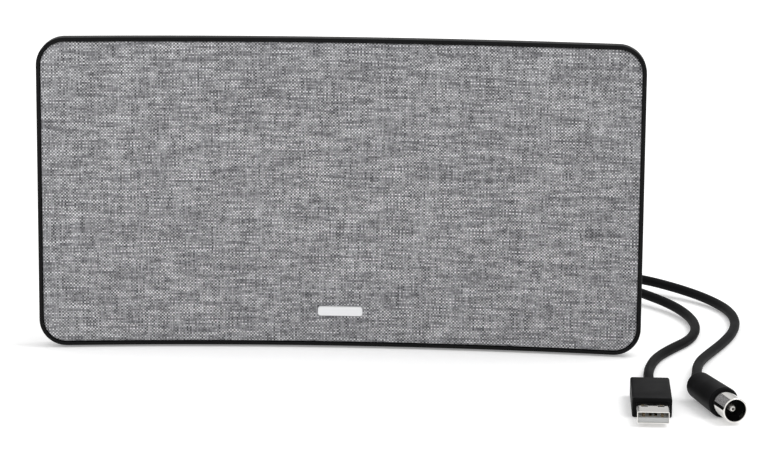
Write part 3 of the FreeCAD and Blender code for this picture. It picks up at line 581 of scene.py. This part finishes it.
def heathered(tree, cloth, number, across, along, streak, dark, pale, thin, thick):
    """Tone and cover of one set of threads. Noise at (way / streak, thread number * apart), plus a share
    of fibre noise, mixes dark with pale. The first noise alone runs the cover from thin to thick."""
    place = add(tree, "SeparateXYZ", {0: cloth})
    way = add(tree, "Math", {0: place.outputs[along], 1: 1 / streak}, operation="MULTIPLY").outputs[0]
    row = add(tree, "Math", {0: number.outputs[across], 1: apart}, operation="MULTIPLY").outputs[0]
    spot = add(tree, "CombineXYZ", {0: way, 1: row}).outputs[0]
    noise = add(tree, "TexNoise", {"Vector": spot, "Scale": 1.0, "Detail": streak_octaves,
                                   "Roughness": streak_crispness},
                noise_dimensions="2D").outputs["Fac"]

    size = (fibre_length, fibre_width) if along == "X" else (fibre_width, fibre_length)
    combed = add(tree, "VectorMath", {0: cloth, 1: (1 / size[0], 1 / size[1], 0)},
                 operation="MULTIPLY").outputs[0]
    fibre = add(tree, "TexNoise", {"Vector": combed, "Scale": 1.0, "Detail": 1.0},
                noise_dimensions="2D").outputs["Fac"]
    mixed = add(tree, "Math", {0: fibre, 1: fibre_share, 2: noise}, operation="MULTIPLY_ADD").outputs[0]
    # A noise is 0.5 on average, so the fibres raise the sum by half of their share
    share = add(tree, "MapRange", {"Value": mixed, "From Min": tone_range[0] + fibre_share / 2,
                                   "From Max": tone_range[1] + fibre_share / 2}).outputs[0]
    tone = add(tree, "Mix", {mix_share: share, mix_first: linear(dark), mix_second: linear(pale)},
               data_type="RGBA").outputs[mix_out]
    cover = add(tree, "MapRange", {"Value": noise, "From Min": tone_range[0], "From Max": tone_range[1],
                                   "To Min": thin, "To Max": thick}).outputs[0]
    return tone, cover


print("streaks of", round(weft_yarn["streak"] / mm), "and", round(warp_yarn["streak"] / mm), "mm")

# %% [markdown]
# The finish puts the two together: the colour is the tone of the thread on top. A thread is round, so its
# middle stands up while the gaps sink, and the colour is painted darker in the gaps as shade. The same
# height is the relief, which only has to be slight, because the painted shade in the gaps does most of
# the work. Polyester is dull here: its many fibres scatter the light, and no highlight shows.

# %% Woven polyester
# How dark the painted shade at the bottom of a gap is, and the height at which it ends
painted_gap_shade = 0.38
gap_height = 0.7
weave_relief = 0.16 * mm
relief_strength = 0.3


def woven_polyester():
    """Colour = tone of the thread on top * painted shade by height * cover of the weft * cover of the
    warp.
    """
    material, tree, shader = start_material("woven_polyester", Roughness=0.85, IOR=1.45,
                                            Specular_IOR_Level=0.2)
    cloth = add(tree, "UVMap", uv_map="cloth").outputs["UV"]
    number, warp_on_top, height = plain_weave(tree, cloth)
    weft_tone, weft_cover = heathered(tree, cloth, number, **weft_yarn)
    warp_tone, warp_cover = heathered(tree, cloth, number, **warp_yarn)
    tone = add(tree, "Mix", {mix_share: warp_on_top, mix_first: weft_tone, mix_second: warp_tone},
               data_type="RGBA").outputs[mix_out]
    # Painted shade: the colour darkens where the height drops into the gaps between threads
    shade = add(tree, "MapRange", {"Value": height, "From Max": gap_height, "To Min": painted_gap_shade},
                interpolation_type="SMOOTHSTEP").outputs[0]
    for cover in (weft_cover, warp_cover):
        shade = add(tree, "Math", {0: shade, 1: cover}, operation="MULTIPLY").outputs[0]
    colour = add(tree, "VectorMath", {0: tone, "Scale": shade}, operation="SCALE").outputs[0]
    tree.links.new(colour, shader.inputs["Base Color"])
    bump = add(tree, "Bump", {"Height": height, "Distance": weave_relief,
                              "Strength": relief_strength}).outputs[0]
    tree.links.new(bump, shader.inputs["Normal"])
    return material


cloth_finish = woven_polyester()
print("weave of", len(cloth_finish.node_tree.nodes), "nodes")

# %% [markdown]
# Now the sheet itself. Its thickness could be a second surface, but a Solidify modifier grows it inwards
# from the outside and is easy to change. Each corner of a face gets its place in the flat cloth as its
# UV, so the threads run on round the edge. The last lines hide the plain cover that this piece stands
# for.

# %% Cloth
cloth_thickness = 0.55 * mm

cloth = make_piece("woven_front", cloth_points, cloth_faces, cloth_finish,
                   closed=False)
cloth_map = cloth.data.uv_layers.new(name="cloth")
corner_point = np.empty(len(cloth.data.loops), int)
cloth.data.loops.foreach_get("vertex_index", corner_point)
cloth_map.data.foreach_set("uv", laid.reshape(-1, 2)[corner_point].ravel())
wall = cloth.modifiers.new("cloth_thickness", "SOLIDIFY")
wall.thickness = cloth_thickness
wall.offset = -1
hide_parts("fabric_cover")
print("cloth faces", len(cloth.data.polygons))

# %% [markdown]
# The badge is a small bar with softened edges, glued to the cloth. A cube with a Bevel modifier would
# be flat, while the cloth is not. So a profile runs from the middle of its back, out to the edge, up
# the side, over a small round and back to the middle of its front, and it follows the panel's bend
# like every other layer.

# %% Badge shape
badge_low, badge_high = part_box("badge")
badge_radius = 1.2 * mm
badge_round = 0.35 * mm
badge_thickness = 0.8 * mm
# Shares of the way from the middle to the edge, out along the back and in along the front
back_shares = [0, 0.5, 1]
front_shares = [0.75, 0.5, 0.25, 0]

badge_core, badge_out = rounded_outline(badge_high.x - badge_low.x, badge_high.z - badge_low.z,
                                        badge_radius, corner_steps=13, long_steps=24, short_steps=6)
badge_share = np.concatenate([back_shares, np.ones(round_steps), front_shares])[:, None, None]
badge_inset = np.concatenate([np.zeros(len(back_shares)), badge_round * (1 - np.cos(quarter)),
                              np.full(len(front_shares), badge_round)])[:, None, None]
badge_lift = np.concatenate([np.zeros(len(back_shares)),
                             badge_thickness - badge_round * (1 - np.sin(quarter)),
                             np.full(len(front_shares), badge_thickness)])[:, None]
badge_xz = (badge_core + badge_out * (badge_radius - badge_inset)) * badge_share
badge_y = bent(badge_xz[..., 0], cloth_recess - badge_lift)
badge_z = (badge_low.z + badge_high.z) / 2 + badge_xz[..., 1]
badge_points = np.stack([badge_xz[..., 0], badge_y, badge_z], axis=-1)
print("badge", badge_points.shape[0], "by", badge_points.shape[1], "points")

# %% [markdown]
# The bar is brushed aluminium: an abrasive belt was drawn along it, and its fine lines make a soft,
# silky white out of a mirror. A noise that is stretched along X gives such lines. Real ones are a few
# hundredths of a millimetre wide, and they are drawn at about a tenth, so that they show.

# %% Brushed badge
stroke_size = (9 * mm, 0.3 * mm, 0.12 * mm)
stroke_octaves = 3.0
stroke_depth = 0.01 * mm
stroke_roughness = (0.30, 0.50)


def brushed_aluminium():
    """Noise drawn out along X, as a belt leaves it: fine lines in the tone, roughness and relief."""
    material, tree, shader = start_material("brushed_aluminium", Metallic=1.0)
    place = add(tree, "TexCoord").outputs["Object"]
    drawn = add(tree, "Mapping", {"Vector": place, "Scale": tuple(1 / size for size in stroke_size)})
    lines = add(tree, "TexNoise", {"Vector": drawn.outputs[0], "Scale": 1.0,
                                   "Detail": stroke_octaves}).outputs["Fac"]
    tone = add(tree, "Mix", {mix_share: lines, mix_first: linear("#e3e4e6"),
                             mix_second: linear("#f4f4f5")},
               data_type="RGBA").outputs[mix_out]
    tree.links.new(tone, shader.inputs["Base Color"])
    rough = add(tree, "MapRange", {"Value": lines, "To Min": stroke_roughness[0],
                                   "To Max": stroke_roughness[1]}).outputs[0]
    tree.links.new(rough, shader.inputs["Roughness"])
    bump = add(tree, "Bump", {"Height": lines, "Distance": stroke_depth}).outputs[0]
    tree.links.new(bump, shader.inputs["Normal"])
    return material


badge_faces = grid_faces(*badge_points.shape[:2]).tolist()
badge = make_piece("badge_bar", badge_points, badge_faces, brushed_aluminium())
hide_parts("badge")
print("badge faces", len(badge.data.polygons))

# %% [markdown]
# Each cord leaves its strain relief at the back, is wound into a neat coil that the panel hides, and
# comes round the right end of the panel to its plug. A coil is a formula: counted in turns, the radius
# shrinks by one pitch a turn on the lower layer, waits while the cord climbs, and grows again on the
# upper layer. The smooth line that runs along these points later cuts a little inside them, so a ring
# of points is drawn larger by 1 / cos(half a step).

# %% Coils
coil_pitch = 4.2 * mm
coil_low = 2.6 * mm
coil_high = 6.6 * mm
turn_points = 16


def coil(centre, radius, layer_turns, climb_turns):
    """Points of a two-layer coil, clockwise from its left side: angle = pi - 2 pi t at t turns."""
    total = 2 * layer_turns + climb_turns
    t = np.linspace(0, total, round(total * turn_points) + 1)
    around = radius - coil_pitch * np.minimum(t, layer_turns)
    around += coil_pitch * np.maximum(t - layer_turns - climb_turns, 0)
    around /= math.cos(math.pi / turn_points)
    climb = np.clip((t - layer_turns) / climb_turns, 0, 1)
    height = coil_low + (coil_high - coil_low) * climb ** 2 * (3 - 2 * climb)
    angle = np.pi - 2 * np.pi * t
    return np.stack([centre[0] + around * np.cos(angle), centre[1] + around * np.sin(angle), height],
                    axis=1)


coax_coil = coil(centre=(-0.0035, 0.075), radius=0.032, layer_turns=3.5, climb_turns=0.25)
usb_coil = coil(centre=(0.0655, 0.068), radius=0.030, layer_turns=3.0, climb_turns=105 / 360)
print("coil points", len(coax_coil), len(usb_coil))

# %% [markdown]
# Where a cord lies loose there is no formula for it. Its points were chosen, in metres, to follow the
# picture in front and the floor behind, and the same points shaped the solids. A lead goes from the
# strain relief to the coil, and a route from the coil to the bore of the plug.

# %% Routes
coax_lead = [(-0.0355, 0.0251, 0.0078), (-0.0355, 0.0341, 0.0078), (-0.0355, 0.0453, 0.0073),
             (-0.0355, 0.0565, 0.0055)]
coax_route = [
    (0.0150, 0.1070, 0.0066), (0.0330, 0.1070, 0.0066), (0.0520, 0.1068, 0.0065),
    (0.0705, 0.1059, 0.0064), (0.0888, 0.1040, 0.0062), (0.1065, 0.1006, 0.0059),
    (0.1230, 0.0946, 0.0055), (0.1370, 0.0852, 0.0044), (0.1500, 0.0730, 0.0030),
    (0.1587, 0.0573, 0.0020), (0.1610, 0.0388, 0.0020), (0.1590, 0.0200, 0.0020),
    (0.1538, 0.0020, 0.0020), (0.1478, -0.0145, 0.0022), (0.1430, -0.0300, 0.0028),
    (0.1411, -0.0455, 0.0040), (0.1403, -0.0600, 0.0052), (0.1390, -0.0720, 0.0059),
    (0.1414, -0.0791, 0.0059),
]
usb_lead = [(0.0355, 0.0251, 0.0078), (0.0355, 0.0341, 0.0078), (0.0355, 0.0420, 0.0067),
            (0.0355, 0.0500, 0.0055)]
usb_route = [
    (0.0907, 0.0923, 0.0066), (0.1003, 0.0897, 0.0066), (0.1120, 0.0825, 0.0056),
    (0.1249, 0.0706, 0.0046), (0.1364, 0.0562, 0.0034), (0.1430, 0.0394, 0.0024),
    (0.1441, 0.0223, 0.0020), (0.1405, 0.0052, 0.0020), (0.1325, -0.0087, 0.0020),
    (0.1263, -0.0223, 0.0020), (0.1233, -0.0367, 0.0023), (0.1220, -0.0510, 0.0031),
    (0.1218, -0.0640, 0.0038), (0.1218, -0.0763, 0.0038),
]
coax_points = np.concatenate([coax_lead, coax_coil, coax_route])
usb_points = np.concatenate([usb_lead, usb_coil, usb_route])
print("points", len(coax_points), "and", len(usb_points))

# %% [markdown]
# A cord is a round section carried along a line, which is what Blender's curves are for. A NURBS line
# of order 3 takes the points as its control points and runs smoothly past them, as a soft cord does,
# with no kink where a run meets a bend. The order is set when the points are in, because a shorter
# line can't have it.

# %% Cords
cord_diameter = 4.0 * mm


def make_cord(name, points):
    """Round curve along one smooth open NURBS line."""
    curve = bpy.data.curves.new(name, "CURVE")
    curve.dimensions = "3D"
    curve.bevel_depth = cord_diameter / 2
    curve.bevel_resolution = 6
    curve.use_fill_caps = True
    line = curve.splines.new("NURBS")
    line.points.add(len(points) - 1)
    line.points.foreach_set("co", np.column_stack([points, np.ones(len(points))]).ravel())
    line.order_u = 3
    line.use_endpoint_u = True
    line.resolution_u = 5
    curve.materials.append(cord_pvc)
    piece = bpy.data.objects.new(name, curve)
    scene.collection.objects.link(piece)
    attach(piece, "root")
    return piece


coax_cord = make_cord("coax_cord", coax_points)
usb_cord = make_cord("usb_cord", usb_points)
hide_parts("coax_lead", "coax_coil", "coax_run")
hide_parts("usb_lead", "usb_coil", "usb_run")
print("cords", coax_cord.name, usb_cord.name)

# %% [markdown]
# A soft strap holds each coil together. It is a flat section carried round the coil's own section:
# the same rounded outline again, once for the way round and once for the strap's edge.

# %% Ties
tie_thickness = 0.6 * mm
tie_width = 5.0 * mm
tie_corner = 2.2 * mm
strap_round = 0.2 * mm

strap_core, strap_out = rounded_outline(tie_width, tie_thickness, strap_round,
                                        corner_steps=4, long_steps=6, short_steps=2)
strap = strap_core + strap_out * strap_round


def make_tie(name, node):
    """Strap section (x, inset) carried round a rounded rectangle in the upright plane across the coil."""
    low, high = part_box(node)
    middle = (low + high) / 2
    core, out = rounded_outline(high.y - low.y, high.z - low.z, tie_corner,
                                corner_steps=7, long_steps=24, short_steps=8)
    inset = (tie_thickness / 2 - strap[:, 1])[:, None, None]
    loop = core + out * (tie_corner - inset)
    across = np.broadcast_to(middle.x + strap[:, :1], loop.shape[:2])
    points = np.stack([across, middle.y + loop[..., 0], middle.z + loop[..., 1]], axis=-1)
    faces = grid_faces(*points.shape[:2], close_rows=True).tolist()
    piece = make_piece(name, points, faces, tie_pvc)
    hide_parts(node)
    return piece


coax_strap = make_tie("coax_strap", "coax_tie")
usb_strap = make_tie("usb_strap", "usb_tie")
print("straps", len(coax_strap.data.polygons), "faces each")

# %% [markdown]
# Both cords are now made.

print("two cords made")

# %% [markdown]
# Four screws hold the foot to the shell, at the bottom of their wells. Their heads have the cross
# recess that the solid leaves out. A Boolean could cut it, but in polar form a plus sign is one radius
# for each angle, so the recess is just a few more rings of the turned profile, with a radius that
# changes with the angle.

# %% Screw shape
head_radius = 2.8 * mm
head_height = 1.8 * mm
head_round = 0.9 * mm
shank_radius = 1.4 * mm
tip_radius = 0.6 * shank_radius
tip_taper = 0.8 * mm
recess_depth = 1.0 * mm
recess_draft = 0.7
blade_half = 0.42 * mm
blade_reach = 1.6 * mm
screw_sides = 96
# Keeps the division below from blowing up along the middle of a blade
least_sine = 0.01

screw_low, screw_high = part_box("housing_screws")
tip, top = screw_low.y, screw_high.y
seat = top - head_height
floor_of_recess = top - recess_depth
screw_angle = np.linspace(0, 2 * np.pi, screw_sides, endpoint=False)
folded = np.abs((screw_angle + np.pi / 4) % (np.pi / 2) - np.pi / 4)
plus = np.minimum(blade_reach / np.cos(folded), blade_half / np.maximum(np.sin(folded), least_sine))
turned = np.concatenate([[0, tip_radius, shank_radius, shank_radius, head_radius],
                         head_radius - head_round * (1 - np.cos(quarter))])
screw_reach = np.concatenate([turned[:, None] * np.ones_like(plus),
                              [plus, recess_draft * plus, 0 * plus]])
screw_y = np.concatenate([[tip, tip, tip + tip_taper, seat, seat],
                          top - head_round * (1 - np.sin(quarter)),
                          [top, floor_of_recess, floor_of_recess]])
screw_y = np.broadcast_to(screw_y[:, None], screw_reach.shape)
print("screw", round((top - tip) / mm, 1), "mm long")

# %% [markdown]
# The four screws are one piece, as their solid is: the same shape is set down at the four corners that
# the solid's box gives, and all of it becomes one mesh.

# %% Screws
screw_x = screw_high.x - head_radius
screw_z = [screw_low.z + head_radius, screw_high.z - head_radius]
screw_points = np.stack([np.stack([x + screw_reach * np.cos(screw_angle), screw_y,
                                   z + screw_reach * np.sin(screw_angle)], axis=-1)
                         for x in (-screw_x, screw_x) for z in screw_z])
screw_faces = np.concatenate([grid_faces(*screw_reach.shape, first=number * screw_reach.size)
                              for number in range(len(screw_points))]).tolist()
screws = make_piece("foot_screws", screw_points, screw_faces, zinc_steel)
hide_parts("housing_screws")
print("screws", len(screw_points), "with", len(screws.data.polygons), "faces")
